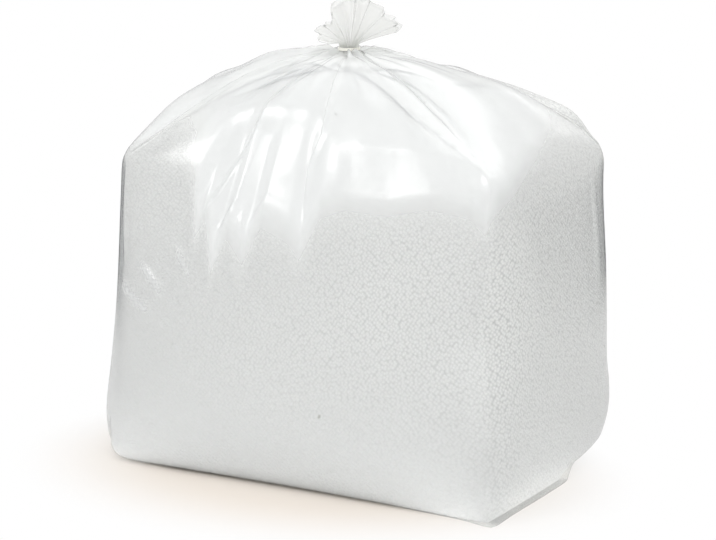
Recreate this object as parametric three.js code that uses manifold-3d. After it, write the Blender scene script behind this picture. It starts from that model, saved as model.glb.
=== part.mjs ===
// A clear polyethylene film bag full of loose expanded-polystyrene beads, with its mouth gathered and tied.
// Millimetres, +Z up. The origin lies on the floor under the middle of the bag. X runs along the wide front,
// and the front faces -Y.
import * as THREE from "three";
import { ParametricGeometry } from "three/addons/geometries/ParametricGeometry.js";
import { mergeGeometries, mergeVertices } from "three/addons/utils/BufferGeometryUtils.js";
import Module from "manifold-3d";

const { clamp, lerp, smoothstep, degToRad } = THREE.MathUtils;
const upward = new THREE.Vector3(0, 0, 1);

// The filled body: where it stands, where its wall is fullest and where the wall turns into the top
const footWidth = 612;
const footDepth = 446;
const bellyWidth = 630;
const bellyDepth = 446;
const bellyHeight = 60;
const shoulderWidth = 590;
const shoulderDepth = 328;
const shoulderHeight = 396;

// The film, its gathered neck and the frill above the tie
const filmThickness = 0.15;
const neckHeight = 540;
const neckDiameter = 26;
const neckLength = 10;
const neckOffsetX = -3;
const neckOffsetY = -18;
const throatDiameter = 3.6;
const frillLength = 56;
const frillRise = 4;
const frillFacing = degToRad(28);
const frillLowLean = degToRad(22);
const frillHighLean = degToRad(76);
const ruffleLean = degToRad(14);
const frillLopside = 0.16;
const frillWave = 0.08;

// The folds of the top and the flaps of the bottom seal that lie on the floor beside the bag
const foldHeight = 9;
const foldSpringing = 0.3;
const pleatDip = 8;
const pleatStart = 0.55;
const pleatEnd = 0.95;
const sealFlapReach = 14;
const sealFlapHeight = 16;
const footTuckHeight = 110;

// The heap of beads inside: its gap to the film of the walls, how far it lies below the slack film of the
// top, the share of the way to the neck over which that slack grows, and how far its peak lies below the neck
const fillClearance = 0.3;
const fillSlack = 22;
const fillSlackRun = 0.48;
const fillHeadroom = 27;

// The tie around the neck
const tieClearance = 0.3;
const tieWidth = 3.6;
const tieThickness = 1.2;
const tieHeadWidth = 6;
const tieHeadDepth = 4.5;
const tieHeadHeight = 5;
const tieTailLength = 7;
const tieHeadAngle = degToRad(100);
const strapSegments = 48;

// The body's four corners, counter-clockwise from above: front right, back right, back left, front left.
// footSharpness and earSharpness are the exponents of the corner's rounded plan at the floor and at the
// shoulder, footFade is the rise at which the foot's sharpness has gone, footTuck is the share by which the
// corner draws in at the floor, earRise is how far its ear stands above the shoulder in millimetres, and
// earFullness is how much the ridge from the ear to the neck bulges.
const corners = [
  {
    x: 1, y: -1,
    footSharpness: 16, footFade: 0.6, footTuck: 0,
    earSharpness: 11, earRise: 12, earFullness: 1.4,
  },
  {
    x: 1, y: 1,
    footSharpness: 5, footFade: 0.3, footTuck: 0.17,
    earSharpness: 11, earRise: 14, earFullness: 2.2,
  },
  {
    x: -1, y: 1,
    footSharpness: 5, footFade: 0.3, footTuck: 0.1,
    earSharpness: 7, earRise: 38, earFullness: 1.5,
  },
  {
    x: -1, y: -1,
    footSharpness: 5, footFade: 0.3, footTuck: 0.04,
    earSharpness: 7.5, earRise: 0, earFullness: 1.4,
  },
];

// The sides between the corners: right, back, left and front. A flap of the bottom seal fades in and out
// along a side between the four shares of its length.
const sides = [
  { pleats: 3, flap: [-0.1, 0.12, 0.45, 0.75] },
  { pleats: 6 },
  { pleats: 3, flap: [0.15, 0.4, 0.55, 0.8] },
  { pleats: 6 },
];
const columnsPerPleat = 4;

// How far the fold below each gather reaches, as a share of the way from the neck to the shoulder, starting
// at the front right corner and going round counter-clockwise
const foldReach = [
  1.3, 0.7, 0.6, 1.1, 0.6, 0.9, 0.5, 1.2, 0.55, 1.1, 0.65, 0.8, 1.1, 0.9, 1.5, 1.5, 0.7, 0.6,
];

// The panel of the front that is pulled straight from the beads to the top: the gathers where it starts, is
// full, fades and ends, its lower edge at both ends and its upper edge as rises, 1 at the shoulder and 2 at
// the neck, and the share of its height over which it eases in and out
const panelGathers = [13.5, 14.1, 15.1, 15.7];
const panelLowRises = [0.94, 0.76];
const panelHighRise = 1.28;
const panelEase = 0.3;

// Shape of the form: how the plan's corners round off, how late the wall leans in, how full the top is
const wallSharpness = 4.6;
const roundestRise = 0.3;
const wallLean = 1.2;
const topFullness = 2.8;
const earFocus = 6;
const footFocus = 4;

// Where the rows of the surface lie: along the base, up the wall, over the top, and out along the frill
const baseShares = [0, 0.6, 1];
const wallShares = [0.012, 0.05, 0.11, 0.19, 0.32, 0.46, 0.6, 0.73, 0.85, 0.94, 1];
const topShares = [0.05, 0.12, 0.21, 0.31, 0.42, 0.53, 0.64, 0.74, 0.83, 0.91, 0.97];
const frillShares = [0.2, 0.4, 0.6, 0.8, 1];
const heapShares = [0.1, 0.24, 0.42, 0.62, 0.84];

// Columns run up the surface, evenly spaced along each side of the plan, with a gather on every corner
function makeColumns() {
  const pleats = sides.reduce((sum, side) => sum + side.pleats, 0);
  const total = pleats * columnsPerPleat;
  const firstAngle = (-Math.PI * sides[0].pleats) / pleats;
  const columns = [];
  sides.forEach((side, number) => {
    const from = corners[number];
    const to = corners[(number + 1) % corners.length];
    const count = side.pleats * columnsPerPleat;
    for (let step = 0; step < count; step++) {
      const index = columns.length;
      columns.push({
        from,
        to,
        side,
        along: step / count,
        place: index / columnsPerPleat,
        neckAngle: firstAngle + (2 * Math.PI * index) / total,
        gather: 0.5 + 0.5 * Math.cos((2 * Math.PI * index) / columnsPerPleat),
        fold: foldReach[Math.round(index / columnsPerPleat) % foldReach.length],
      });
    }
  });
  return columns;
}

// A corner's value along a side: blended evenly between the two corners, or held to the corners by a focus
// and fading to another value between them
const byCorner = (column, key) => lerp(column.from[key], column.to[key], column.along);
function nearCorner(column, key, focus, between) {
  const fromShare = (1 - column.along) ** focus;
  const toShare = column.along ** focus;
  return between + (column.from[key] - between) * fromShare + (column.to[key] - between) * toShare;
}

const shoulderTop = (column) => shoulderHeight + byCorner(column, "earRise");

// A width or depth of the wall at a height: it swells from the foot to the belly, then leans to the shoulder
function wallSize(foot, belly, shoulder, height, top) {
  if (height < bellyHeight) return belly - (belly - foot) * (1 - height / bellyHeight) ** 2;
  return lerp(belly, shoulder, ((height - bellyHeight) / (top - bellyHeight)) ** wallLean);
}

// The plan is roundest a little above the foot, and its corners sharpen to the floor and to the ears
function planSharpness(column, rise) {
  const fromFoot = smoothstep(rise, 0, byCorner(column, "footFade"));
  const toEar = Math.max(0, rise - roundestRise) / (1 - roundestRise);
  const low = lerp(byCorner(column, "footSharpness"), wallSharpness, fromFoot);
  return lerp(low, byCorner(column, "earSharpness"), toEar ** 2);
}

// A point of the plain body's wall, without flaps and folds
function wallPoint(column, height) {
  const top = shoulderTop(column);
  const width = wallSize(footWidth, bellyWidth, shoulderWidth, height, top);
  const depth = wallSize(footDepth, bellyDepth, shoulderDepth, height, top);
  const sharpness = planSharpness(column, height / top);
  const x = lerp(column.from.x, column.to.x, column.along);
  const y = lerp(column.from.y, column.to.y, column.along);
  const rounding = (Math.abs(x) ** sharpness + Math.abs(y) ** sharpness) ** (-1 / sharpness);
  const lifted = Math.max(0, 1 - height / footTuckHeight) ** 2;
  const tuck = 1 - nearCorner(column, "footTuck", footFocus, 0) * lifted;
  return new THREE.Vector3((x * width) / 2, (y * depth) / 2, 0).multiplyScalar(rounding * tuck).setZ(height);
}

// A point of the gathered neck, where the film stands in a star of pleats
const neckFoot = neckHeight - neckLength / 2;
function neckPoint(column, height) {
  const radius = lerp(throatDiameter, neckDiameter, column.gather) / 2;
  const x = neckOffsetX + radius * Math.cos(column.neckAngle);
  const y = neckOffsetY + radius * Math.sin(column.neckAngle);
  return new THREE.Vector3(x, y, height);
}

// A point of the top between the shoulder and the neck: full in the middle of a side, straight at an ear
function topPoint(column, share) {
  const shoulder = wallPoint(column, shoulderTop(column));
  const fullness = nearCorner(column, "earFullness", earFocus, topFullness);
  const height = lerp(shoulder.z, neckFoot, 1 - (1 - share) ** fullness);
  return shoulder.lerp(neckPoint(column, neckFoot), share).setZ(height);
}

// A point of the body at a rise, and the same point with the panel of the front pulled straight between its
// lower and upper edge
const bodyPoint = (column, rise) =>
  rise < 1 ? wallPoint(column, rise * shoulderTop(column)) : topPoint(column, rise - 1);
function pulledPoint(column, rise) {
  const point = bodyPoint(column, rise);
  const [start, full, fading, end] = panelGathers;
  const across = smoothstep(column.place, start, full) - smoothstep(column.place, fading, end);
  const low = lerp(...panelLowRises, clamp((column.place - start) / (end - start), 0, 1));
  const share = clamp((rise - low) / (panelHighRise - low), 0, 1);
  const eased = smoothstep(share, 0, panelEase) * smoothstep(1 - share, 0, panelEase);
  const straight = bodyPoint(column, low).lerp(bodyPoint(column, panelHighRise), share);
  return point.lerp(straight, across * eased);
}

// The film of the top dips between the gathers
function pleatedTopPoint(column, share) {
  const dip = pleatDip * (1 - column.gather) * smoothstep(share, pleatStart, pleatEnd);
  const point = pulledPoint(column, 1 + share);
  return point.setZ(point.z - dip);
}

// A point of the frill: the film leaves the tie upwards, fans out low to both sides of the way it faces and
// stands up between them, longer on one side, with the valleys of its ruffles steeper than the crests
function frillPoint(column, share) {
  const start = neckPoint(column, neckHeight + neckLength / 2);
  const turn = column.neckAngle - frillFacing;
  const lean = lerp(frillHighLean, frillLowLean, Math.cos(turn) ** 2) + ruffleLean * (1 - column.gather);
  const length = frillLength * (1 + frillLopside * Math.cos(turn) + frillWave * Math.cos(3 * turn + 1));
  const bend = start.clone().setZ(start.z + frillRise);
  const reach = new THREE.Vector3(length * Math.cos(lean), 0, length * Math.sin(lean));
  const end = reach.applyAxisAngle(upward, column.neckAngle).add(bend);
  return new THREE.QuadraticBezierCurve3(start, bend, end).getPoint(share);
}

// Normals of a grid of rows and columns, lengthened at creases so that an offset keeps the wall's thickness
const sharpestMitre = 0.4;
function mitredNormals(grid) {
  const last = grid.length - 1;
  const around = grid[0].length;
  return grid.map((row, i) => row.map((point, j) => {
    const up = grid[Math.min(i + 1, last)][j].clone().sub(point);
    const down = point.clone().sub(grid[Math.max(i - 1, 0)][j]);
    const ahead = row[(j + 1) % around].clone().sub(point);
    const behind = point.clone().sub(row[(j + around - 1) % around]);
    const faces = [[ahead, up], [behind, up], [ahead, down], [behind, down]]
      .map(([side, rise]) => new THREE.Vector3().crossVectors(side, rise))
      .filter((normal) => normal.lengthSq() > 1e-12)
      .map((normal) => normal.normalize());
    if (faces.length === 0) return new THREE.Vector3(0, 0, -1);
    const normal = faces.reduce((sum, face) => sum.add(face), new THREE.Vector3()).normalize();
    const agreement = Math.min(...faces.map((face) => face.dot(normal)));
    return normal.divideScalar(Math.max(agreement, sharpestMitre));
  }));
}

const offsetGrid = (grid, normals, distance) =>
  grid.map((row, i) => row.map((point, j) => point.clone().addScaledVector(normals[i][j], distance)));

// A surface through a grid of rows, closed round its columns
function surface(grid) {
  const around = grid[0].length;
  const rise = grid.length - 1;
  const place = (u, v, target) => target.copy(grid[Math.round(v * rise)][Math.round(u * around) % around]);
  return new ParametricGeometry(place, around, rise);
}

// A thin wall between two such surfaces, which share the split of their quads and are joined at the last row
function thinWall(outer, inner) {
  const outside = surface(outer);
  const inside = surface(inner);
  inside.setIndex([...inside.index.array].reverse());
  const rim = surface([outer[outer.length - 1], inner[inner.length - 1]]);
  return weld(mergeGeometries([outside, inside, rim]));
}

function weld(geometry) {
  geometry.deleteAttribute("normal");
  geometry.deleteAttribute("uv");
  const welded = mergeVertices(geometry, 1e-3);
  welded.computeVertexNormals();
  return welded;
}

// The plain body that the film covers and the beads fill
const columns = makeColumns();
const bodyRows = [
  ...baseShares.map((share) => columns.map((column) => wallPoint(column, 0).multiplyScalar(share))),
  ...wallShares.map((share) => columns.map((column) => pulledPoint(column, share))),
];

// How far a fold or a seal flap stands proud of the plain body
function foldRise(column, way) {
  const crest = column.gather ** 3;
  const fade = Math.max(0, 1 - way / column.fold);
  return foldHeight * crest * Math.sqrt(fade) * smoothstep(way, 0, foldSpringing);
}

function flapRise(column, height) {
  const { flap } = column.side;
  if (!flap) return 0;
  const spread = smoothstep(column.along, flap[0], flap[1]) - smoothstep(column.along, flap[2], flap[3]);
  return sealFlapReach * spread * Math.max(0, 1 - height / sealFlapHeight);
}

function makeFilm() {
  const topRows = topShares.map((share) => columns.map((column) => pleatedTopPoint(column, share)));
  const plain = [...bodyRows, ...topRows];
  const normals = mitredNormals(plain);
  const outer = plain.map((row, i) => row.map((point, j) => {
    const column = columns[j];
    const run = Math.hypot(...wallPoint(column, shoulderTop(column)).setZ(0).toArray());
    const topIndex = i - bodyRows.length;
    const way = topIndex < 0 ? 1 + (shoulderTop(column) - point.z) / run : 1 - topShares[topIndex];
    const outward = new THREE.Vector3(point.x, 0, 0).normalize();
    const folded = point.clone().addScaledVector(normals[i][j].clone().normalize(), foldRise(column, way));
    const onFlap = i >= baseShares.length - 1;
    return onFlap ? folded.addScaledVector(outward, flapRise(column, point.z)) : folded;
  }));
  outer.push(columns.map((column) => neckPoint(column, neckFoot)));
  outer.push(columns.map((column) => neckPoint(column, neckHeight + neckLength / 2)));
  frillShares.forEach((share) => outer.push(columns.map((column) => frillPoint(column, share))));
  const inner = offsetGrid(outer, mitredNormals(outer), -filmThickness);
  return thinWall(outer, inner);
}

// The beads lie against the film up to the shoulder and heap up under the slack film of the top
function makeBeads() {
  const underTop = heapShares.map((share) => columns.map((column) => pulledPoint(column, 1 + share)));
  const plain = [...bodyRows, ...underTop];
  const normals = mitredNormals(plain);
  const touching = offsetGrid(plain, normals, -filmThickness - fillClearance);
  const filled = touching.map((row, i) => row.map((point, j) => {
    const share = i < bodyRows.length ? 0 : heapShares[i - bodyRows.length];
    const slack = fillSlack * smoothstep(share, 0, fillSlackRun);
    return point.addScaledVector(normals[i][j].clone().normalize(), -slack);
  }));
  const peak = new THREE.Vector3(neckOffsetX, neckOffsetY, neckFoot - fillHeadroom);
  return weld(surface([...filled, columns.map(() => peak)]));
}

// The tie: a strap round the gathers, closed by a small head with the cut end of the strap behind it
const wasm = await Module();
wasm.setup();

function toSolid(geometry) {
  const welded = weld(geometry);
  const vertProperties = new Float32Array(welded.attributes.position.array);
  const triVerts = new Uint32Array(welded.index.array);
  return new wasm.Manifold(new wasm.Mesh({ numProp: 3, vertProperties, triVerts }));
}

function toGeometry(solid) {
  const mesh = solid.getMesh();
  const geometry = new THREE.BufferGeometry();
  geometry.setAttribute("position", new THREE.BufferAttribute(mesh.vertProperties, 3));
  geometry.setIndex(new THREE.BufferAttribute(mesh.triVerts, 1));
  geometry.computeVertexNormals();
  return geometry;
}

function makeTie() {
  const inside = neckDiameter / 2 + tieClearance;
  const outside = inside + tieThickness;
  const profile = [[inside, -1], [outside, -1], [outside, 1], [inside, 1], [inside, -1]]
    .map(([radius, end]) => new THREE.Vector2(radius, (end * tieWidth) / 2));
  const strap = new THREE.LatheGeometry(profile, strapSegments).rotateX(Math.PI / 2);
  const head = new THREE.BoxGeometry(tieHeadDepth, tieHeadWidth, tieHeadHeight)
    .translate(outside - tieThickness / 2 + tieHeadDepth / 2, 0, 0);
  const tail = new THREE.BoxGeometry(tieThickness, tieTailLength, tieWidth)
    .translate(outside + tieThickness, tieHeadWidth / 2 + tieTailLength / 2 - tieThickness, 0);
  const tie = toSolid(strap).add(toSolid(head)).add(toSolid(tail));
  return toGeometry(tie).rotateZ(tieHeadAngle).translate(neckOffsetX, neckOffsetY, neckHeight);
}

const clearFilm = new THREE.MeshStandardMaterial({
  color: 0xf2f5f6,
  roughness: 0.15,
  metalness: 0,
  transparent: true,
  opacity: 0.3,
});
const whiteFoam = new THREE.MeshStandardMaterial({ color: 0xeeefee, roughness: 0.85, metalness: 0 });
const naturalNylon = new THREE.MeshStandardMaterial({ color: 0xe9e4cf, roughness: 0.45, metalness: 0 });

const bag = new THREE.Group();
bag.name = "bag_of_beads";
const pieces = [
  ["film_bag", makeFilm(), clearFilm],
  ["bead_fill", makeBeads(), whiteFoam],
  ["neck_tie", makeTie(), naturalNylon],
];
for (const [name, geometry, material] of pieces) {
  const mesh = new THREE.Mesh(geometry, material);
  mesh.name = name;
  bag.add(mesh);
}

export default bag;
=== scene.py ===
"""A clear film bag full of loose polystyrene beads, gathered and tied at the top, on a white floor.

Metres, +Z up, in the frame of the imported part. A place on the film is given by two numbers. The gather
counts round the bag from 0 at the front right corner, counter-clockwise from above. The rise is 0 at the
floor, 1 at the shoulder and 2 at the neck.
"""

import math

import bmesh
import bpy
import numpy as np
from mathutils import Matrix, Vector


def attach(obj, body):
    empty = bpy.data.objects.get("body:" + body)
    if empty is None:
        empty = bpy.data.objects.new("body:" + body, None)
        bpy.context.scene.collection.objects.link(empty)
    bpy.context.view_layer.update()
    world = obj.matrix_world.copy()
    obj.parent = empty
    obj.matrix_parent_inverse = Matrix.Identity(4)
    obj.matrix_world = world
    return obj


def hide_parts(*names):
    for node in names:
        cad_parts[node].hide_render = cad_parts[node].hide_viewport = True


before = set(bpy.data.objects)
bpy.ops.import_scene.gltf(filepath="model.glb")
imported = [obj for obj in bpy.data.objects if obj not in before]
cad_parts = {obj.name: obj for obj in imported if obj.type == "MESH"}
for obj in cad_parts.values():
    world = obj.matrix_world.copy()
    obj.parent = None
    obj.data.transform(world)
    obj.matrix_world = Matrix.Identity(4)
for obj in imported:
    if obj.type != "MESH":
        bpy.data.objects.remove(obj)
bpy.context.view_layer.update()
scene = bpy.context.scene

# The filled body, as in the part: foot, belly and shoulder as width and depth, and their heights
FOOT = (0.612, 0.446)
BELLY = (0.630, 0.446)
BELLY_HEIGHT = 0.060
SHOULDER = (0.590, 0.328)
SHOULDER_HEIGHT = 0.396

# The neck and the frill above the tie
FILM_THICKNESS = 0.00015
NECK_HEIGHT = 0.540
NECK_DIAMETER = 0.026
NECK_LENGTH = 0.010
NECK_PLACE = (-0.003, -0.018)
THROAT_DIAMETER = 0.010
FRILL_FACING = math.radians(28)
FRILL_RISE = 0.003
FRILL_DEPTH = 0.013
FRILL_LOBES = 5
FRILL_LOBE_SWAY = math.radians(3)
FRILL_LOBE_DEPTH = 0.004
PUCKER_HEIGHT = 0.009

# The frill's outline, seen the way it faces: angles from the right over the top to the left, in degrees, and
# lengths from the tie, with a notch on either side of its upright part
FRILL_OUTLINE = [
    (12, 0.048), (18, 0.060), (30, 0.058), (40, 0.056), (58, 0.060), (76, 0.056), (82, 0.062), (88, 0.054),
    (97, 0.057), (112, 0.053), (119, 0.043), (126, 0.033), (136, 0.036), (150, 0.037), (162, 0.035),
    (178, 0.026), (194, 0.016),
]

# Gathers on the right, back, left and front side, and the corners where each side starts
SIDE_GATHERS = np.array([3, 6, 3, 6])
GATHERS = int(SIDE_GATHERS.sum())
FIRST_GATHER = np.cumsum(SIDE_GATHERS) - SIDE_GATHERS

# Corners: front right, back right, back left, front left
CORNER_X = np.array([1.0, 1.0, -1.0, -1.0])
CORNER_Y = np.array([-1.0, 1.0, 1.0, -1.0])
FOOT_SHARPNESS = np.array([16.0, 5.0, 5.0, 5.0])
FOOT_TUCK = np.array([0.0, 0.17, 0.1, 0.015])
EAR_SHARPNESS = np.array([11.0, 11.0, 7.0, 7.5])
EAR_RISE = np.array([0.012, 0.014, 0.038, 0.0])
EAR_FULLNESS = np.array([1.4, 1.75, 1.5, 1.4])
WALL_SHARPNESS = 4.6
ROUNDEST_RISE = 0.3
FOOT_FADE = np.array([0.6, 0.3, 0.3, 0.3])
WALL_LEAN = 1.2
TOP_FULLNESS = 2.8
EAR_FOCUS = 6
EAR_ROUNDING = np.array([0.05, 0.015, 0.04, 0.015])
SHOULDER_ROUNDING = 0.10
FOOT_ROUND = np.array([0.0, 1.0, 1.0, 1.0])
FOOT_ROUNDING = 0.024
FOOT_POINT = np.array([44.0, 0.0, 0.0, 0.0])
FOOT_POINT_HEIGHT = 0.05
FOOT_FOCUS = 4
FOOT_TUCK_HEIGHT = 0.110

# Where the body swells or sinks from its plain form: gather, rise, how far that spreads in both, and by how
# much the film moves, in metres
SWELLS = [
    (3.75, 1.14, 0.6, 0.2, 0.020),
    (3.35, 1.11, 0.35, 0.08, 0.010),
    (3.6, 1.6, 1.4, 0.13, -0.012),
    (2.75, 0.85, 0.5, 0.2, -0.004),
    (2.6, 0.2, 0.6, 0.15, -0.004),
    (10.9, 1.48, 0.5, 0.12, -0.009),
    (11.4, 1.22, 0.4, 0.1, 0.005),
    (11.75, 0.6, 0.6, 0.5, -0.005),
]

# The panels of the front where the film is pulled straight from the beads to the top: the gathers where each
# starts, is full, fades and ends, its upper edge, and the share of its height over which it eases in and out
PANELS = [
    ((13.5, 14.0, 15.1, 15.6), 1.28, 0.25),
    ((15.6, 15.9, 17.5, 17.95), 1.11, 0.15),
]

# Where the film comes off the beads, as gather and rise. The folds of the front hold it off lower down,
# in pointed tongues.
CONTACT_EDGE = [
    (0.08, 0.95), (0.36, 1.0), (0.72, 1.04), (1.46, 1.11), (2.2, 1.18), (2.8, 1.26), (3.2, 1.42), (3.7, 1.38),
    (4.2, 1.1), (4.7, 0.88), (5.2, 0.95), (6.0, 0.88), (6.4, 0.96), (7.1, 0.8), (7.6, 0.93), (8.3, 0.9),
    (9.0, 1.0), (9.6, 0.9), (10.1, 0.97), (10.7, 0.86), (11.3, 0.97), (12.0, 1.08), (12.3, 1.14), (12.7, 1.2),
    (13.2, 1.14), (13.5, 0.98), (13.62, 0.8), (13.75, 0.86), (13.92, 0.7), (14.1, 0.82), (14.38, 0.74),
    (14.6, 0.86), (15.0, 0.82), (15.2, 0.77), (15.45, 0.9), (15.8, 0.93), (16.4, 0.92), (17.0, 0.95),
    (17.6, 0.93), (17.9, 0.88),
]

# Flaps of the bottom seal on the right and the left side: the shares of the side where each fades in and out
SEAL_FLAP = {0: (-0.25, 0.05, 0.48, 0.6), 2: (0.15, 0.4, 0.55, 0.8)}
SEAL_FLAP_REACH = 0.009
SEAL_FLAP_HEIGHT = 0.045
CORNER_FLAP_REACH = (0.004, -0.010)
CORNER_FLAP_SPREAD = 0.5

# The beads
BEAD_SIZE = 0.0042
BEAD_UNEVENNESS = 0.6
BEAD_BUMP = 0.0006
BEAD_TURN = (0, 0, math.radians(35))
BEAD_CLEARANCE = 0.0013
HEAP_SLACK = 0.022
HEAP_TOP_RISE = 1.84
HEAP_PEAK = 0.508
HEAP_CAP = 0.86

# How milky the film is: slack or tight on the beads, free of them, and lifted off them by a fold. Towards the
# neck and in the frill it is clearer by a set amount.
MILKY_SLACK = 0.22
MILKY_TIGHT = 0.14
MILKY_FREE = 0.5
MILKY_LIFTED = 0.45
FRILL_CLEARER = 0.2

# The shaded part of the floor, an oval that reaches furthest in front of the bag, where its shadow is partly
# rendered and partly painted in a darker warm colour: its middle and half sizes
FLOOR_SHADE_MIDDLE = (0.0, -0.10, 0.0)
FLOOR_SHADE_SIZE = (0.44, 0.35, 1.0)
FLOOR_GLOW = 1.0
WORLD_LIGHT = 0.93

# Softboxes: azimuth and elevation in degrees, distance, width and height, and power in watts
SOFTBOXES = {
    "front_softbox": (-35, 27, 2.3, (0.52, 0.44), 6.5),
    "fill_softbox": (30, 25, 2.6, (2.6, 2.2), 9.5),
    "back_softbox": (176, 24, 2.4, (1.0, 0.3), 1.0),
    "top_softbox": (160, 82, 2.4, (3.2, 3.2), 40),
}
SOFTBOX_TARGET = Vector((0, 0, 0.3))

# Dark cards: azimuth in degrees, distance and height of the middle, and width and height
CARDS = {
    "right_card": (166, 1.3, 0.12, (1.7, 0.6)),
    "left_card": (-112, 1.2, 0.2, (2.6, 0.6)),
}

# The camera, from its fit to the outline: the picture is 716 pixels wide
PICTURE_WIDTH = 716
FOCAL_PIXELS = 2400
CAMERA_AZIMUTH = math.radians(29.55)
CAMERA_ELEVATION = math.radians(11.61)
CAMERA_DISTANCE = 3.1865
CAMERA_TARGET = (0.0, 0.0, 0.2436)
SENSOR_WIDTH = 36

draw = np.random.default_rng(7)


def lerp(a, b, share):
    return a + (b - a) * share


def smoothstep(value, start, end):
    share = np.clip((value - start) / (end - start), 0, 1)
    return share * share * (3 - 2 * share)


def around(gather):
    """The corners before and after a place round the bag, and the share of the way between them."""
    gather = np.mod(gather, GATHERS)
    side = np.searchsorted(FIRST_GATHER, gather, side="right") - 1
    return side, (side + 1) % len(CORNER_X), (gather - FIRST_GATHER[side]) / SIDE_GATHERS[side]


def by_corner(values, place):
    start, end, along = place
    return lerp(values[start], values[end], along)


def near_corner(values, place, focus, between):
    start, end, along = place
    from_start = (values[start] - between) * (1 - along) ** focus
    return between + from_start + (values[end] - between) * along**focus


def shoulder_top(gather):
    return SHOULDER_HEIGHT + by_corner(EAR_RISE, around(gather))


def wall_size(axis, height, top):
    """The wall's width or depth at a height: it swells from the foot to the belly, then leans in."""
    below = 1 - np.clip(height / BELLY_HEIGHT, 0, 1)
    above = np.clip((height - BELLY_HEIGHT) / (top - BELLY_HEIGHT), 0, None) ** WALL_LEAN
    swelling = BELLY[axis] - (BELLY[axis] - FOOT[axis]) * below**2
    return np.where(height < BELLY_HEIGHT, swelling, lerp(BELLY[axis], SHOULDER[axis], above))


def wall_point(gather, height):
    place = around(gather)
    top = shoulder_top(gather)
    rise = height / top
    faded = smoothstep(rise, 0, by_corner(FOOT_FADE, place))
    low = lerp(by_corner(FOOT_SHARPNESS, place), WALL_SHARPNESS, faded)
    low = low + by_corner(FOOT_POINT, place) * np.maximum(0, 1 - height / FOOT_POINT_HEIGHT) ** 2
    to_ear = np.maximum(0, rise - ROUNDEST_RISE) / (1 - ROUNDEST_RISE)
    sharpness = lerp(low, by_corner(EAR_SHARPNESS, place), to_ear**2)
    x = by_corner(CORNER_X, place)
    y = by_corner(CORNER_Y, place)
    rounding = (np.abs(x) ** sharpness + np.abs(y) ** sharpness) ** (-1 / sharpness)
    lifted = np.maximum(0, 1 - height / FOOT_TUCK_HEIGHT) ** 2
    plan = rounding * (1 - near_corner(FOOT_TUCK, place, FOOT_FOCUS, 0) * lifted) / 2
    width = wall_size(0, height, top)
    depth = wall_size(1, height, top)
    return np.stack([x * width * plan, y * depth * plan, height + 0 * x], axis=-1)


def neck_angle(gather):
    return 2 * np.pi * (gather - SIDE_GATHERS[0] / 2) / GATHERS


def crest(gather):
    """1 on a gather, 0 midway between two."""
    return 0.5 + 0.5 * np.cos(2 * np.pi * gather)


def neck_point(gather, height):
    radius = lerp(THROAT_DIAMETER, NECK_DIAMETER, crest(gather)) / 2
    angle = neck_angle(gather)
    x = NECK_PLACE[0] + radius * np.cos(angle)
    y = NECK_PLACE[1] + radius * np.sin(angle)
    return np.stack([x, y, height + 0 * x], axis=-1)


NECK_FOOT = NECK_HEIGHT - NECK_LENGTH / 2
NECK_TOP = NECK_HEIGHT + NECK_LENGTH / 2


def top_point(gather, share):
    shoulder = wall_point(gather, shoulder_top(gather))
    fullness = near_corner(EAR_FULLNESS, around(gather), EAR_FOCUS, TOP_FULLNESS)
    point = lerp(shoulder, neck_point(gather, NECK_FOOT), share[..., None])
    point[..., 2] = lerp(shoulder[..., 2], NECK_FOOT, 1 - (1 - share) ** fullness)
    return point


def creased_body_point(gather, rise):
    on_wall = wall_point(gather, np.clip(rise, 0, 1) * shoulder_top(gather))
    on_top = top_point(gather, np.clip(rise - 1, 0, 1))
    return np.where((rise < 1)[..., None], on_wall, on_top)


def swell(gather, rise):
    total = np.zeros_like(rise)
    for place, height, spread, run, amount in SWELLS:
        away = np.mod(gather - place + GATHERS / 2, GATHERS) - GATHERS / 2
        total += amount * np.exp(-((away / spread) ** 2) - ((rise - height) / run) ** 2)
    return total


def flap_spread(gather):
    """1 where the bottom seal lies out on the floor, 0 where the film turns under the bag."""
    side, _, along = around(gather)
    spread = np.zeros_like(along)
    for number, (start, full, fading, end) in SEAL_FLAP.items():
        shown = smoothstep(along, start, full) - smoothstep(along, fading, end)
        spread += np.where(side == number, shown, 0)
    return spread


def body_point(gather, rise):
    """A point of the plain body, before its folds: its shoulder is round between the ears, and it turns
    under at the foot."""
    gather, rise = np.broadcast_arrays(gather, rise)
    reach = near_corner(EAR_ROUNDING, around(gather), EAR_FOCUS, SHOULDER_ROUNDING)
    reach = reach * smoothstep(np.abs(rise - 1), 0.35, 0.15)
    samples = [creased_body_point(gather, rise + reach * step) for step in (-1, -0.5, 0, 0.5, 1)]
    point = sum(weight * sample for weight, sample in zip((0.12, 0.23, 0.3, 0.23, 0.12), samples))
    under = np.clip(1 - point[..., 2] / FOOT_ROUNDING, 0, 1)
    turned = near_corner(FOOT_ROUND, around(gather), FOOT_FOCUS, 1) * (1 - flap_spread(gather))
    inset = FOOT_ROUNDING * (1 - np.sqrt(1 - under**2)) * turned
    middle = np.maximum(np.linalg.norm(point[..., :2], axis=-1), 1e-9)
    point[..., :2] *= (1 - inset / middle)[..., None]
    outward = point - np.array([0, 0, SHOULDER_HEIGHT / 2])
    outward = outward / np.linalg.norm(outward, axis=-1, keepdims=True)
    return point + outward * swell(gather, rise)[..., None]


def contact_edge(gather):
    places = np.array(CONTACT_EDGE)
    return np.interp(np.mod(gather, GATHERS), places[:, 0], places[:, 1], period=GATHERS)


def bead_rim(gather):
    """How high the beads lie against the film, a little above where the film can be seen to come off them."""
    return sum(contact_edge(gather + step) for step in np.linspace(-0.5, 0.5, 11)) / 11 + 0.01


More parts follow.
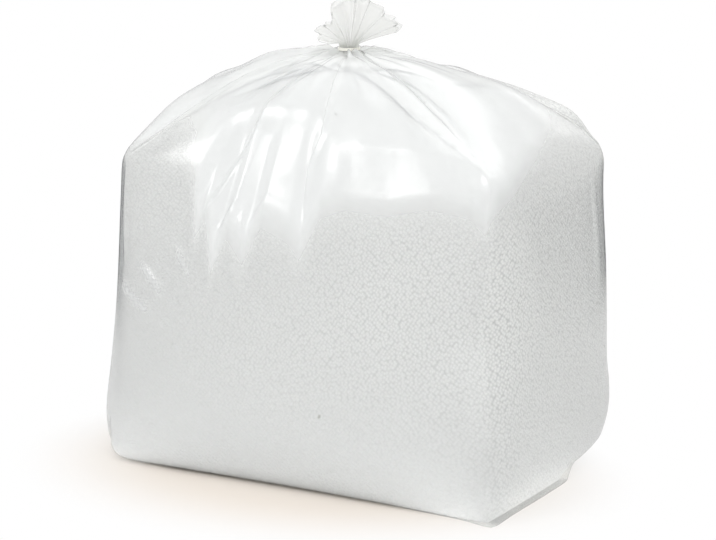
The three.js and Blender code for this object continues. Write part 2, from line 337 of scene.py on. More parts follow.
def pulled_point(gather, rise):
    """The body with the film of the front pulled straight in its panels."""
    point = body_point(gather, rise)
    for (start, full, fading, end), high_rise, ease in PANELS:
        across = smoothstep(gather, start, full) - smoothstep(gather, fading, end)
        low = contact_edge(gather)
        high = np.full_like(rise, high_rise)
        share = np.clip((rise - low) / (high - low), 0, 1)
        eased = smoothstep(share, 0, ease) * smoothstep(1 - share, 0, ease)
        straight = lerp(body_point(gather, low), body_point(gather, high), share[..., None])
        point = lerp(point, straight, (across * eased)[..., None])
    return point


def body_normal(gather, rise):
    step = 0.004
    along = pulled_point(gather + step, rise) - pulled_point(gather - step, rise)
    high = np.clip(rise + step, 0, 2)
    low = np.clip(rise - step, 0, 2)
    normal = np.cross(along, pulled_point(gather, high) - pulled_point(gather, low))
    return normal / np.maximum(np.linalg.norm(normal, axis=-1, keepdims=True), 1e-12)


# The two long folds of the front, which columns of the film follow: each runs down from the neck through a
# few places, as gather and rise
LEFT_FOLD = [
    (15.0, 1.85), (14.55, 1.5), (14.22, 1.31), (14.04, 1.17), (13.88, 1.04), (13.78, 0.91), (13.64, 0.79),
]
MIDDLE_FOLD = [(15.6, 1.8), (15.4, 1.3), (15.36, 1.15), (15.2, 1.05), (15.2, 0.79)]
LEFT_COLUMN = 14.0
MIDDLE_COLUMN = 15.3

# Folds of the film that stand proud of the body, or grooves where they are negative. Each runs down through a
# few places, with its height and the widths of its two flanks in metres, clockwise side first, and the
# share of its length over which it fades out at its lower end.
FOLDS = [
    (LEFT_FOLD, 0.0016, 0.012, 0.003, 0.12),
    ([(gather + 0.025, rise) for gather, rise in LEFT_FOLD[1:]], -0.0017, 0.0018, 0.0016, 0.2),
    ([(15.3, 1.85), (14.75, 1.5), (14.48, 1.36), (14.3, 1.16)], 0.0016, 0.005, 0.008, 0.45),
    (MIDDLE_FOLD, 0.002, 0.004, 0.009, 0.3),
    ([(gather - 0.03, rise) for gather, rise in MIDDLE_FOLD], -0.0015, 0.0018, 0.0016, 0.5),
    ([(0.2, 1.69), (0.1, 1.6), (0.0, 1.38), (-0.02, 1.12), (-0.1, 0.9), (0.0, 0.74)],
     0.002, 0.012, 0.008, 0.3),
    ([(0.1, 1.35), (0.0, 1.14), (0.3, 0.95)], 0.002, 0.007, 0.010, 0.45),
    ([(0.0, 1.12), (0.2, 1.04), (0.42, 0.94)], 0.002, 0.006, 0.008, 0.45),
    ([(14.9, 1.85), (13.6, 1.26), (13.2, 1.12)], 0.002, 0.012, 0.006, 0.45),
    ([(14.0, 1.85), (12.6, 1.4), (12.0, 1.0), (12.0, 0.86)], 0.004, 0.018, 0.014, 0.45),
    ([(12.1, 1.05), (12.1, 0.85), (12.2, 0.6)], 0.003, 0.012, 0.02, 0.45),
    ([(2.6, 1.85), (2.9, 1.45), (3.0, 1.25), (2.86, 1.1), (2.78, 1.0), (2.8, 0.86)],
     0.004, 0.006, 0.006, 0.3),
    ([(2.3, 1.0), (2.3, 0.8), (2.25, 0.5)], 0.003, 0.005, 0.013, 0.45),
    ([(16.5, 1.85), (16.45, 1.6), (16.4, 1.36)], 0.0015, 0.010, 0.014, 0.6),
    ([(17.3, 1.85), (17.2, 1.6), (17.25, 1.4)], 0.0015, 0.012, 0.010, 0.6),
    ([(13.74, 0.93), (13.8, 0.82), (13.95, 0.66)], 0.002, 0.008, 0.004, 0.45),
    ([(14.26, 0.93), (14.3, 0.82), (14.4, 0.7)], 0.002, 0.006, 0.004, 0.3),
    ([(12.5, 0.72), (12.72, 0.67), (13.26, 0.56), (13.6, 0.49)], 0.004, 0.014, 0.012, 0.6),
    ([(13.2, 0.78), (13.34, 0.73), (13.72, 0.61), (13.9, 0.55)], 0.0035, 0.014, 0.012, 0.6),
    ([(12.0, 0.64), (12.3, 0.58), (12.78, 0.53), (13.54, 0.44)], 0.0045, 0.014, 0.012, 0.6),
]
# On the back and the left the folds fall by chance: one below every gather
for gather in range(4, 12):
    bend = draw.uniform(-0.25, 0.25, 3)
    end = draw.uniform(0.78, 1.25)
    run = [(gather + bend[0] * 0.3, 1.87), (gather + bend[1], 1.4), (gather + bend[2], end)]
    flanks = draw.permutation([draw.uniform(0.016, 0.03), draw.uniform(0.008, 0.014)])
    FOLDS.append((run, draw.uniform(0.003, 0.006), *flanks, 0.45))
# A fold that starts above this rise runs on into the neck
NECK_FOLD_START = 1.7

# Depths of the grooves between the gathers and of the finer ones between those
GATHER_GROOVE = 0.002
FINE_GROOVE = 0.001

# Billows of the loose top, as waves round the bag, bends up it and height, and its fine waves, as waves and
# height
BILLOWS = [(3, 4, 0.0016), (5, 7, 0.0014), (8, 5, 0.0011), (11, 9, 0.0009), (17, 6, 0.0006)]
FINE_WAVES = [(41, 0.0003), (67, 0.0002), (96, 0.0001)]


def ring_spacing(gather, rise):
    """The distance from one gather to the next along the body."""
    side, _, _ = around(gather)
    side_length = np.where(side % 2, SHOULDER[0], SHOULDER[1])
    on_wall = np.where(side % 2, BELLY[0], BELLY[1])
    length = lerp(on_wall, side_length, np.clip(rise, 0, 1)) / SIDE_GATHERS[side]
    at_neck = np.pi * NECK_DIAMETER / GATHERS
    return lerp(length, at_neck, np.clip(rise - 1, 0, 1))


def fold_rise(gather, rise):
    """How far the film stands off the body where it is folded."""
    spacing = ring_spacing(gather, rise)
    total = np.zeros_like(rise)
    for run, height, clockwise, counter, fade in FOLDS:
        places = np.array(run)[::-1]
        start, end = places[0, 1], places[-1, 1]
        centre = np.interp(rise, places[:, 1], places[:, 0])
        slant = np.gradient(places[:, 0], places[:, 1])
        slope = np.interp(rise, places[:, 1], slant) * spacing / SHOULDER_HEIGHT
        offset = np.mod(gather - centre + GATHERS / 2, GATHERS) - GATHERS / 2
        offset = offset * spacing / np.sqrt(1 + slope**2)
        flank = np.where(offset < 0, clockwise, counter)
        profile = np.maximum(0, 1 - np.sqrt((offset / flank) ** 2 + 0.01)) ** 1.4
        along = (rise - start) / (end - start)
        upper = smoothstep(1 - along, -0.3, 0.25) if end > NECK_FOLD_START else smoothstep(1 - along, 0, 0.4)
        taper = smoothstep(along, 0, fade) * upper * (along > 0) * (along < 1)
        total += height * np.minimum(1, spacing / 0.03) ** 0.5 * profile * taper
    return total


def pleat_depth(gather, rise):
    """Grooves between the gathers, deepest just below the neck. There the gathers pucker up by the tie."""
    fine = 0.5 + 0.5 * np.cos(4 * np.pi * gather + 1.3 * np.sin(2 * np.pi * gather / 5))
    groove = (1 - crest(gather)) * GATHER_GROOVE + (1 - fine) * FINE_GROOVE
    uneven = 0.6 + 0.4 * np.sin(2.3 * gather + 1)
    pucker = PUCKER_HEIGHT * crest(gather) * uneven * smoothstep(rise, 1.78, 1.94)
    return groove * smoothstep(rise, 1.45, 1.9) - pucker


def crinkle(gather, rise):
    """Soft uneven billows of the loose film of the top, and fine waves that run down from the neck."""
    wave = np.zeros_like(rise)
    for count, climb, size in BILLOWS:
        phase, drift = draw.uniform(0, 2 * np.pi, 2)
        turn = 2 * np.pi * count * gather / GATHERS
        wave += size * np.sin(turn + phase + 1.7 * np.sin(climb * rise + drift))
    for count, size in FINE_WAVES:
        phase, drift = draw.uniform(0, 2 * np.pi, 2)
        turn = 2 * np.pi * count * gather / GATHERS + phase + 3 * np.sin(2.2 * rise + drift)
        wave += size * np.sin(turn) * smoothstep(rise, 1.3, 1.7)
    rim = bead_rim(gather)
    return 0.5 * wave * smoothstep(rise, rim - 0.02, rim + 0.3)


def flap_rise(gather, height):
    """How far the bottom seal lies out on the floor."""
    return SEAL_FLAP_REACH * flap_spread(gather) * np.maximum(0, 1 - height / SEAL_FLAP_HEIGHT)


def corner_flap(gather, height):
    """How much of the front right corner's point lies forward on the floor."""
    away = np.mod(gather + GATHERS / 2, GATHERS) - GATHERS / 2
    pointed = np.maximum(0, 1 - np.abs(away) / CORNER_FLAP_SPREAD) ** 2
    return pointed * np.maximum(0, 1 - height / SEAL_FLAP_HEIGHT)


def frill_point(gather, share):
    """The film leaves the tie upwards and opens into a flat fan of two ruffled layers, one behind the other,
    which meet along its low edges."""
    turn = neck_angle(gather) - FRILL_FACING
    angles, lengths = np.array(FRILL_OUTLINE).T
    lean = lerp(angles[0], angles[-1], np.arccos(np.clip(np.cos(turn), -1, 1)) / np.pi)
    length = np.interp(lean, angles, lengths) * (1 + 0.05 * np.sin(5 * turn + 1))
    lobe = FRILL_LOBES * turn + 0.8 * np.sin(2 * turn + 1)
    opened = smoothstep(share, 0, 0.8)
    lean = np.radians(lean) + FRILL_LOBE_SWAY * np.sin(lobe) * opened
    pleats = 0.0015 * np.cos(4 * np.pi * gather) * (1 - share)
    depth = FRILL_DEPTH * np.sin(turn) + FRILL_LOBE_DEPTH * np.cos(lobe) * opened + pleats
    right = length * np.cos(lean)
    x = right * math.cos(FRILL_FACING) - depth * math.sin(FRILL_FACING)
    y = right * math.sin(FRILL_FACING) + depth * math.cos(FRILL_FACING)
    start = neck_point(gather, NECK_TOP)
    bend = start + np.array([0, 0, FRILL_RISE])
    end = bend + np.stack([x, y, length * np.sin(lean)], axis=-1)
    share = share[..., None]
    return start * (1 - share) ** 2 + 2 * bend * share * (1 - share) + end * share**2


# Rows of the film, counted as the rise is: -1 to 0 across the base, 2 to 3 up the neck, 3 to 4 out the frill
FILM_ROWS = np.concatenate([
    np.linspace(-1, 0, 4, endpoint=False),
    np.linspace(0, 0.06, 8, endpoint=False),
    np.linspace(0.06, 0.4, 9, endpoint=False),
    np.linspace(0.4, 0.66, 20, endpoint=False),
    np.linspace(0.66, 1.3, 44, endpoint=False),
    np.linspace(1.3, 2, 30, endpoint=False),
    np.linspace(2, 3, 3, endpoint=False),
    np.linspace(3, 4, 15),
])
# Columns of the film, closest on the front and closest of all along its two long folds
FILM_COLUMNS = np.concatenate([
    np.linspace(0, 2.4, 34, endpoint=False),
    np.linspace(2.4, 3, 22, endpoint=False),
    np.linspace(3, 4, 24, endpoint=False),
    np.linspace(4, 8, 26, endpoint=False),
    np.linspace(8, 10, 22, endpoint=False),
    np.linspace(10, 12, 22, endpoint=False),
    np.linspace(12, LEFT_COLUMN - 0.15, 58, endpoint=False),
    np.linspace(LEFT_COLUMN - 0.15, LEFT_COLUMN + 0.15, 24, endpoint=False),
    np.linspace(LEFT_COLUMN + 0.15, MIDDLE_COLUMN - 0.1, 34, endpoint=False),
    np.linspace(MIDDLE_COLUMN - 0.1, MIDDLE_COLUMN + 0.1, 16, endpoint=False),
    np.linspace(MIDDLE_COLUMN + 0.1, GATHERS, 80),
])


def film_gather(column, rise):
    """Where a column of the film lies round the bag at a rise: on the front it leans with the long folds."""
    left = np.interp(rise, *np.array([(LEFT_COLUMN, 0.2), *LEFT_FOLD[::-1]]).T[::-1])
    middle = np.interp(rise, *np.array([(MIDDLE_COLUMN, 0.2), *MIDDLE_FOLD[::-1]]).T[::-1])
    first = lerp(12, left, (column - 12) / (LEFT_COLUMN - 12))
    second = lerp(left, middle, (column - LEFT_COLUMN) / (MIDDLE_COLUMN - LEFT_COLUMN))
    third = lerp(middle, GATHERS, (column - MIDDLE_COLUMN) / (GATHERS - MIDDLE_COLUMN))
    places = [column < 12, column < LEFT_COLUMN, column < MIDDLE_COLUMN]
    return np.select(places, [column, first, second], third)


def film_point(gather, row):
    rise = np.clip(row, 0, 2)
    point = pulled_point(gather, rise)
    proud = fold_rise(gather, rise) + crinkle(gather, rise) - pleat_depth(gather, rise)
    film = point + body_normal(gather, rise) * (proud * smoothstep(2 - rise, 0, 0.06))[..., None]
    outward = flap_rise(gather, point[..., 2])
    film[..., 0] += np.sign(point[..., 0]) * outward
    pointing = corner_flap(gather, point[..., 2])
    film[..., 0] += CORNER_FLAP_REACH[0] * pointing
    film[..., 1] += CORNER_FLAP_REACH[1] * pointing
    film[..., 2] = np.maximum(film[..., 2], 0)
    base_share = np.clip(row + 1, 0, 1)[..., None]
    film = np.where((row < 0)[..., None], film * base_share, film)
    neck = neck_point(gather, lerp(NECK_FOOT, NECK_TOP, np.clip(row - 2, 0, 1)))
    film = np.where((row >= 2)[..., None], neck, film)
    frill = frill_point(gather, np.clip(row - 3, 0, 1))
    return np.where((row >= 3)[..., None], frill, film)


def unroll(gather, height):
    """A place of the film laid flat, in metres round the bag and up it."""
    posts = np.linspace(0, GATHERS, 40 * GATHERS + 1)
    ring = body_point(posts, np.full_like(posts, 0.5))
    length = np.concatenate([[0], np.cumsum(np.linalg.norm(np.diff(ring, axis=0), axis=1))])
    return np.stack([np.interp(gather, posts, length), height], axis=-1)


def add_piece(name, bm):
    mesh = bpy.data.meshes.new(name)
    bm.to_mesh(mesh)
    bm.free()
    piece = bpy.data.objects.new(name, mesh)
    scene.collection.objects.link(piece)
    return piece


def flat_sheet(name, size):
    bm = bmesh.new()
    bmesh.ops.create_grid(bm, x_segments=1, y_segments=1, size=size)
    return add_piece(name, bm)


def warped_grid(name, rows, gathers, place):
    """A flat sheet with a row at each height and a column at each gather, warped round the bag and welded
    along its seam."""
    bm = bmesh.new()
    bmesh.ops.create_grid(bm, x_segments=len(gathers) - 1, y_segments=len(rows) - 1, size=0.5)
    flat = np.array([vert.co[:2] for vert in bm.verts]) + 0.5
    column = np.round(flat[:, 0] * (len(gathers) - 1)).astype(int)
    row = np.round(flat[:, 1] * (len(rows) - 1)).astype(int)
    points, spread, marks = place(gathers[column], rows[row])
    unrolled = bm.loops.layers.uv.new("unrolled")
    bm.verts.index_update()
    for face in bm.faces:
        for loop in face.loops:
            loop[unrolled].uv = spread[loop.vert.index]
    for vert, point in zip(bm.verts, points):
        vert.co = point
    layers = {key: bm.verts.layers.float.new(key) for key in marks}
    for key, layer in layers.items():
        for vert, value in zip(bm.verts, marks[key]):
            vert[layer] = value
    bmesh.ops.remove_doubles(bm, verts=bm.verts, dist=1e-6)
    for face in bm.faces:
        face.smooth = True
    return add_piece(name, bm)


def tightness(gather, rise):
    """How closely the film lies on the beads: slack at the front left and near the floor, tight elsewhere."""
    side = 1 - 0.7 * np.exp(-(((gather - 12.8) / 2.2) ** 2))
    turn = 2 * np.pi * gather / GATHERS
    patchy = 0.07 * np.sin(5 * turn + 5 * rise) + 0.06 * np.sin(2 * turn - 9 * rise + 1)
    high = 0.5 * smoothstep(rise, 0.5, 0.8)
    centred = np.mod(gather + GATHERS / 2, GATHERS) - GATHERS / 2
    right = smoothstep(centred, -0.15, 0.2) - smoothstep(centred, 3.1, 3.8)
    low = lerp(lerp(0.25, 0.6, right), 1, smoothstep(rise, 0.0, 0.6))
    return np.clip(np.maximum(side, high) + patchy, 0, 1) * lerp(0.65, 1, right) * low


# Rows of the beads: -1 to 0 across the base, 0 to 1 up to their rim, 1 to 2 up the heap
BEAD_ROWS = np.concatenate([
    np.linspace(-1, 0, 6, endpoint=False),
    np.linspace(0, 1, 116, endpoint=False),
    np.linspace(1, 2, 46),
])
BEAD_GATHERS = np.linspace(0, GATHERS, 32 * GATHERS + 1)


def bead_point(gather, row):
    rim = bead_rim(gather)
    rise = np.clip(row, 0, 1) * rim
    inset = BEAD_CLEARANCE + FILM_THICKNESS
    wall = pulled_point(gather, rise) - body_normal(gather, rise) * inset
    share = np.clip(row - 1, 0, 1)
    under = lerp(rim, HEAP_TOP_RISE, np.minimum(1, share / HEAP_CAP))
    slack = lerp(inset, HEAP_SLACK, smoothstep(share, 0, 0.5))
    heap = pulled_point(gather, under) - body_normal(gather, under) * slack[..., None]
    cap = np.clip((share - HEAP_CAP) / (1 - HEAP_CAP), 0, 1)
    peak = np.array([*NECK_PLACE, HEAP_PEAK])
    top = lerp(heap, peak, cap[..., None])
    top[..., 2] = lerp(heap[..., 2], peak[2], 1 - (1 - cap) ** 2)
    point = np.where((row > 1)[..., None], top, wall)
    bumps = draw.uniform(-BEAD_BUMP, BEAD_BUMP, len(row)) * (row > 0)
    seam = np.mod(gather, GATHERS) == 0
    bumps[seam] = 0
    point = point + body_normal(gather, np.clip(row, 0, 1.2)) * bumps[..., None]
    point[..., 2] = np.maximum(point[..., 2], inset)
    base_share = np.clip(row + 1, 0, 1)[..., None]
    flat = point * np.concatenate([base_share, base_share, np.ones_like(base_share)], axis=-1)
    return np.where((row < 0)[..., None], flat, point)


def srgb(code):
    """A colour's sRGB hex value as linear red, green, blue and alpha."""
    channels = [int(code[i:i + 2], 16) / 255 for i in (1, 3, 5)]
    return (*[c / 12.92 if c <= 0.04045 else ((c + 0.055) / 1.055) ** 2.4 for c in channels], 1)


def add_node(tree, kind, inputs=None, **settings):
    """Adds a node, sets its properties, and fills its inputs with values or with other nodes' outputs."""
    added = tree.nodes.new(kind)
    for key, value in settings.items():
        setattr(added, key, value)
    for key, value in (inputs or {}).items():
        if isinstance(value, bpy.types.NodeSocket):
            tree.links.new(value, added.inputs[key])
        else:
            added.inputs[key].default_value = value
    return added


def new_material(name):
    material = bpy.data.materials.new(name)
    material.use_nodes = True
    material.node_tree.nodes.clear()
    return material, material.node_tree


def bead_cells(tree):
    """A cell for each bead on the unrolled surface: the distance from its middle, and its colour."""
    spread = add_node(tree, "ShaderNodeUVMap", uv_map="unrolled").outputs[0]
    turned = add_node(tree, "ShaderNodeMapping", {0: spread, "Rotation": BEAD_TURN}).outputs[0]
    cells = {"Vector": turned, "Scale": 1 / BEAD_SIZE, "Randomness": BEAD_UNEVENNESS}
    return add_node(tree, "ShaderNodeTexVoronoi", cells, voronoi_dimensions="2D").outputs


def seen_rays(tree):
    """1 where a surface is seen, straight, mirrored or through another, and 0 where it only lights others."""
    path = add_node(tree, "ShaderNodeLightPath").outputs
    straight = add_node(tree, "ShaderNodeMath", {0: path["Is Camera Ray"], 1: path["Is Glossy Ray"]},
                        operation="MAXIMUM")
    seen = add_node(tree, "ShaderNodeMath", {0: straight.outputs[0], 1: path["Is Transmission Ray"]},
                    operation="MAXIMUM")
    return seen.outputs[0]


def blown_polyethylene_film():
    """Clear low-density polyethylene, blown thin: it mirrors the lamps, is slightly milky, and turns whiter
    where it hangs free of the beads and where a fold lifts it off them; towards the neck and in the frill it
    is clearer."""
    material, tree = new_material("blown_polyethylene_film")
    place = add_node(tree, "ShaderNodeTexCoord").outputs["Object"]
    milky = add_node(tree, "ShaderNodeAttribute", attribute_name="milky").outputs["Fac"]
    on_beads = add_node(tree, "ShaderNodeAttribute", attribute_name="on_beads").outputs["Fac"]
    bead_print = bead_cells(tree)["Distance"]
    crumple = add_node(tree, "ShaderNodeTexNoise", {"Vector": place, "Scale": 1 / 0.025, "Detail": 4})
    printed = add_node(tree, "ShaderNodeMath", {0: bead_print, 1: on_beads}, operation="MULTIPLY")
    pressed = add_node(tree, "ShaderNodeBump", {"Strength": 0.35, "Distance": 0.0008,
                                                "Height": printed.outputs[0]}, invert=True)
    bump = add_node(tree, "ShaderNodeBump", {"Strength": 0.3, "Distance": 0.0015,
                                             "Height": crumple.outputs["Fac"],
                                             "Normal": pressed.outputs["Normal"]})
    behind = add_node(tree, "ShaderNodeNewGeometry").outputs["Backfacing"]
    ior = add_node(tree, "ShaderNodeMapRange", {"Value": behind, "To Min": 1.5, "To Max": 1 / 1.5})
    mirror = add_node(tree, "ShaderNodeFresnel", {"IOR": ior.outputs["Result"],
                                                  "Normal": bump.outputs["Normal"]})
    clear = add_node(tree, "ShaderNodeBsdfTransparent", {"Color": srgb("#FEFEFD")})
    white = add_node(tree, "ShaderNodeBsdfTranslucent", {"Color": srgb("#FAFBFC")})
    lit = add_node(tree, "ShaderNodeBsdfDiffuse", {"Color": srgb("#FAFBFC")})
    haze = add_node(tree, "ShaderNodeMixShader", {"Fac": 0.5, 1: white.outputs[0], 2: lit.outputs[0]})
    first = add_node(tree, "ShaderNodeMath", {0: 1, 1: behind}, operation="SUBTRACT")
    once = add_node(tree, "ShaderNodeMath", {0: milky, 1: first.outputs[0]}, operation="MULTIPLY")
    film = add_node(tree, "ShaderNodeMixShader", {"Fac": once.outputs[0], 1: clear.outputs[0],
                                                  2: haze.outputs[0]})
    gloss = add_node(tree, "ShaderNodeBsdfGlossy", {"Roughness": 0.22, "Normal": bump.outputs["Normal"]})
    shown = add_node(tree, "ShaderNodeMixShader",
                     {"Fac": mirror.outputs[0], 1: film.outputs[0], 2: gloss.outputs[0]})
    add_node(tree, "ShaderNodeOutputMaterial", {"Surface": shown.outputs[0]})
    return material


def expanded_polystyrene():
    """Loose beads of expanded polystyrene: matt white balls of uneven size, with painted shade between them,
    grey where the film presses on them and a uniform grey where it covers them loosely, and a dirty bead here
    and there."""
    material, tree = new_material("expanded_polystyrene")
    beads = bead_cells(tree)
    pressed = add_node(tree, "ShaderNodeAttribute", attribute_name="pressed").outputs["Fac"]
    # Painted shade: grey between the beads where the film presses on them, and a uniform grey where it covers
    # them loosely, in #CFD0D2
    gap_shade = add_node(tree, "ShaderNodeMapRange", {"Value": beads["Distance"], "From Min": 0.2,
                                                 "From Max": 0.75, "To Min": 0, "To Max": 1})
    covered = add_node(tree, "ShaderNodeAttribute", attribute_name="covered").outputs["Fac"]
    loose_shade = add_node(tree, "ShaderNodeMath", {0: covered, 1: 0.75}, operation="MULTIPLY")
    shade_share = add_node(tree, "ShaderNodeMix", {"Factor": pressed, 2: loose_shade.outputs[0], 3: gap_shade.outputs[0]})
    colour = add_node(tree, "ShaderNodeMix", {"Factor": shade_share.outputs[0], 6: srgb("#F8F9FA"),
                                              7: srgb("#CFD0D2")}, data_type="RGBA")
    one = add_node(tree, "ShaderNodeSeparateColor", {0: beads["Color"]})
    dirty = add_node(tree, "ShaderNodeMath", {0: one.outputs[0], 1: 0.9999}, operation="GREATER_THAN")
    specks = add_node(tree, "ShaderNodeMix", {"Factor": dirty.outputs[0], 6: colour.outputs[2],
                                              7: srgb("#B4B4B1")}, data_type="RGBA")
    bump = add_node(tree, "ShaderNodeBump", {"Strength": 0.7, "Distance": 0.002,
                                             "Height": beads["Distance"]}, invert=True)
    foam = add_node(tree, "ShaderNodeBsdfPrincipled", {"Base Color": specks.outputs[2], "Roughness": 0.8,
                                                       "Normal": bump.outputs["Normal"]})
    add_node(tree, "ShaderNodeOutputMaterial", {"Surface": foam.outputs[0]})
    return material


def natural_nylon():
    """Moulded natural nylon: milky, slightly yellow, half matt."""
    material, tree = new_material("natural_nylon")
    place = add_node(tree, "ShaderNodeTexCoord").outputs["Object"]
    cloud = add_node(tree, "ShaderNodeTexNoise", {"Vector": place, "Scale": 1 / 0.002, "Detail": 2})
    colour = add_node(tree, "ShaderNodeMix", {"Factor": cloud.outputs["Fac"], 6: srgb("#F3F1E6"),
                                              7: srgb("#F8F7F0")}, data_type="RGBA")
    nylon = add_node(tree, "ShaderNodeBsdfPrincipled", {"Base Color": colour.outputs[2], "Roughness": 0.42,
                                                        "IOR": 1.53})
    add_node(tree, "ShaderNodeOutputMaterial", {"Surface": nylon.outputs[0]})
    return material


def make_film():
    def place(column, row):
        rise = np.clip(row, 0, 2)
        gather = film_gather(column, rise)
        edge = contact_edge(gather)
        soft = np.exp(-(((gather - 12.6) / 0.8) ** 2))
        free = smoothstep(rise, edge - 0.1, edge + 0.06 + 0.2 * soft)
        tight = tightness(gather, rise)
        lifted = smoothstep(fold_rise(gather, rise), 0.001, 0.003)
        on_wall = lerp(MILKY_SLACK, MILKY_TIGHT, tight)
        milky = np.maximum(lerp(on_wall, MILKY_FREE, free), MILKY_LIFTED * lifted)
        milky -= FRILL_CLEARER * smoothstep(row, 1.8, 2.2)
        on_beads = smoothstep(rise, edge - 0.04, edge - 0.16) * tight
        spread = unroll(gather, row * SHOULDER_HEIGHT)
        return film_point(gather, row), spread, {"milky": milky, "on_beads": on_beads}

    film = warped_grid("bag_film", FILM_ROWS, FILM_COLUMNS, place)
    wall = film.modifiers.new("wall", "SOLIDIFY")
    wall.thickness = FILM_THICKNESS
    wall.offset = -1
    film.data.materials.append(blown_polyethylene_film())
    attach(film, "root")
    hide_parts("film_bag")


def make_beads():
    def place(gather, row):
        height = np.where(row > 0, row * bead_rim(gather), row) * SHOULDER_HEIGHT
        rise = height / SHOULDER_HEIGHT
        edge = contact_edge(gather)
        covered = smoothstep(rise, edge + 0.06, edge - 0.16)
        marks = {"pressed": tightness(gather, rise) * covered, "covered": covered}
        return bead_point(gather, row), unroll(gather, height), marks

    beads = warped_grid("bead_heap", BEAD_ROWS, BEAD_GATHERS, place)
    beads.data.materials.append(expanded_polystyrene())
    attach(beads, "root")
    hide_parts("bead_fill")


def dress_tie():
    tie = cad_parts["neck_tie"]
    tie.data.materials.clear()
    tie.data.materials.append(natural_nylon())


def make_floor():
    """A white floor that reads as plain white away from the bag and keeps the shadow beside it: rendered
    shadow, with a darker warm painted shadow colour where the floor is seen near the bag.
    """
    floor = flat_sheet("floor", 15)
    material, tree = new_material("white_floor")
    place = add_node(tree, "ShaderNodeTexCoord").outputs["Object"]
    centred = add_node(tree, "ShaderNodeVectorMath", {0: place, 1: FLOOR_SHADE_MIDDLE}, operation="SUBTRACT")
    oval = add_node(tree, "ShaderNodeVectorMath", {0: centred.outputs[0], 1: FLOOR_SHADE_SIZE},
                    operation="DIVIDE")
    away = add_node(tree, "ShaderNodeVectorMath", {0: oval.outputs[0]}, operation="LENGTH")
    far = add_node(tree, "ShaderNodeMapRange", {"Value": away.outputs["Value"], "From Min": 0.45,
                                                "From Max": 1.0, "To Min": 0.0, "To Max": 1},
                   interpolation_type="SMOOTHSTEP")
    seen = seen_rays(tree)
    share = add_node(tree, "ShaderNodeMath", {0: seen, 1: far.outputs[0]}, operation="MULTIPLY")
    ring = add_node(tree, "ShaderNodeMath", {0: far.outputs[0], 1: -0.5}, operation="ADD")
    ring = add_node(tree, "ShaderNodeMath", {0: ring.outputs[0]}, operation="ABSOLUTE")
    ring = add_node(tree, "ShaderNodeMath", {0: ring.outputs[0], 1: seen}, operation="MAXIMUM")
    glow = add_node(tree, "ShaderNodeMapRange", {"Value": ring.outputs[0], "From Max": 0.5,
                                                 "To Min": FLOOR_GLOW, "To Max": 0})
    lit = add_node(tree, "ShaderNodeEmission", {"Strength": glow.outputs[0]})
    # Painted shadow: where the floor is seen near the bag it shows a darker warm #E8E0D7, while it lights the
    # bag in #F0F0F0
    paint = add_node(tree, "ShaderNodeMix", {"Factor": seen, 6: srgb("#F0F0F0"),
                                             7: srgb("#E8E0D7")}, data_type="RGBA")
    painted = add_node(tree, "ShaderNodeBsdfDiffuse", {"Color": paint.outputs[2]})
    table = add_node(tree, "ShaderNodeAddShader", {0: painted.outputs[0], 1: lit.outputs[0]})
    white = add_node(tree, "ShaderNodeEmission", {"Strength": 1.0})
    shown = add_node(tree, "ShaderNodeMixShader", {"Fac": share.outputs[0], 1: table.outputs[0],
                                                   2: white.outputs[0]})
    add_node(tree, "ShaderNodeOutputMaterial", {"Surface": shown.outputs[0]})
    floor.data.materials.append(material)


def make_world():
    """Even light from all round, and plain white where the background itself is seen."""
    world = bpy.data.worlds.new("studio")
    world.use_nodes = True
    tree = world.node_tree
    tree.nodes.clear()
    seen = seen_rays(tree)
    strength = add_node(tree, "ShaderNodeMapRange", {"Value": seen, "To Min": WORLD_LIGHT, "To Max": 1.0})
    sky = add_node(tree, "ShaderNodeBackground", {"Strength": strength.outputs[0]})
    add_node(tree, "ShaderNodeOutputWorld", {"Surface": sky.outputs[0]})
    scene.world = world


def direction(azimuth, elevation):
    return Vector((math.sin(azimuth) * math.cos(elevation), -math.cos(azimuth) * math.cos(elevation),
                   math.sin(elevation)))


def aim(thing, target):
    thing.rotation_euler = (Vector(target) - thing.location).to_track_quat("-Z", "Y").to_euler()


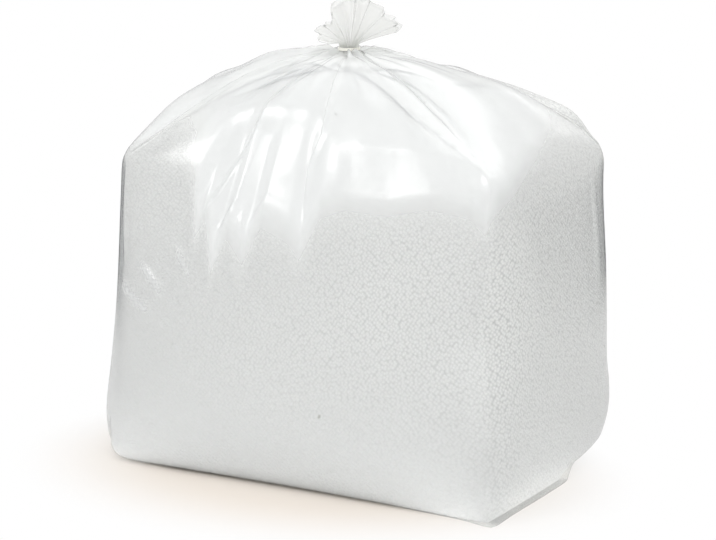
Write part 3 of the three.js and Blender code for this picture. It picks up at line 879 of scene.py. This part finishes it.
def add_softbox(name, azimuth, elevation, distance, size, power):
    lamp = bpy.data.lights.new(name, "AREA")
    lamp.shape = "RECTANGLE"
    lamp.size, lamp.size_y = size
    lamp.energy = power
    softbox = bpy.data.objects.new(name, lamp)
    scene.collection.objects.link(softbox)
    out = direction(math.radians(azimuth), math.radians(elevation))
    softbox.location = SOFTBOX_TARGET + out * distance
    aim(softbox, SOFTBOX_TARGET)


def add_card(name, azimuth, distance, height, size):
    """A dark card beside the bag, out of the picture, which the edges of the film mirror."""
    card = flat_sheet(name, 0.5)
    card.scale = (*size, 1)
    card.location = Vector((0, 0, height)) + direction(math.radians(azimuth), 0) * distance
    aim(card, (0, 0, height))
    card.visible_camera = False
    card.visible_shadow = False
    material, tree = new_material(name)
    place = add_node(tree, "ShaderNodeTexCoord").outputs["Object"]
    middle = add_node(tree, "ShaderNodeVectorMath", {0: place}, operation="LENGTH")
    fade = add_node(tree, "ShaderNodeMapRange", {"Value": middle.outputs["Value"], "From Min": 0.15,
                                                 "From Max": 0.5, "To Min": 0.0, "To Max": 1},
                    interpolation_type="SMOOTHSTEP")
    dark = add_node(tree, "ShaderNodeBsdfDiffuse", {"Color": srgb("#4A4E54")})
    open_edge = add_node(tree, "ShaderNodeBsdfTransparent")
    shown = add_node(tree, "ShaderNodeMixShader", {"Fac": fade.outputs[0], 1: dark.outputs[0],
                                                   2: open_edge.outputs[0]})
    add_node(tree, "ShaderNodeOutputMaterial", {"Surface": shown.outputs[0]})
    card.data.materials.append(material)


def make_camera():
    lens = bpy.data.cameras.new("camera")
    lens.sensor_fit = "HORIZONTAL"
    lens.sensor_width = SENSOR_WIDTH
    lens.lens = SENSOR_WIDTH * FOCAL_PIXELS / PICTURE_WIDTH
    camera = bpy.data.objects.new("camera", lens)
    scene.collection.objects.link(camera)
    camera.location = Vector(CAMERA_TARGET) + direction(CAMERA_AZIMUTH, CAMERA_ELEVATION) * CAMERA_DISTANCE
    aim(camera, CAMERA_TARGET)
    scene.camera = camera


make_camera()
make_film()
make_beads()
dress_tie()
make_floor()
make_world()
for name, softbox in SOFTBOXES.items():
    add_softbox(name, *softbox)
for name, card in CARDS.items():
    add_card(name, *card)

scene.view_settings.view_transform = "Standard"
scene.cycles.transparent_max_bounces = 32
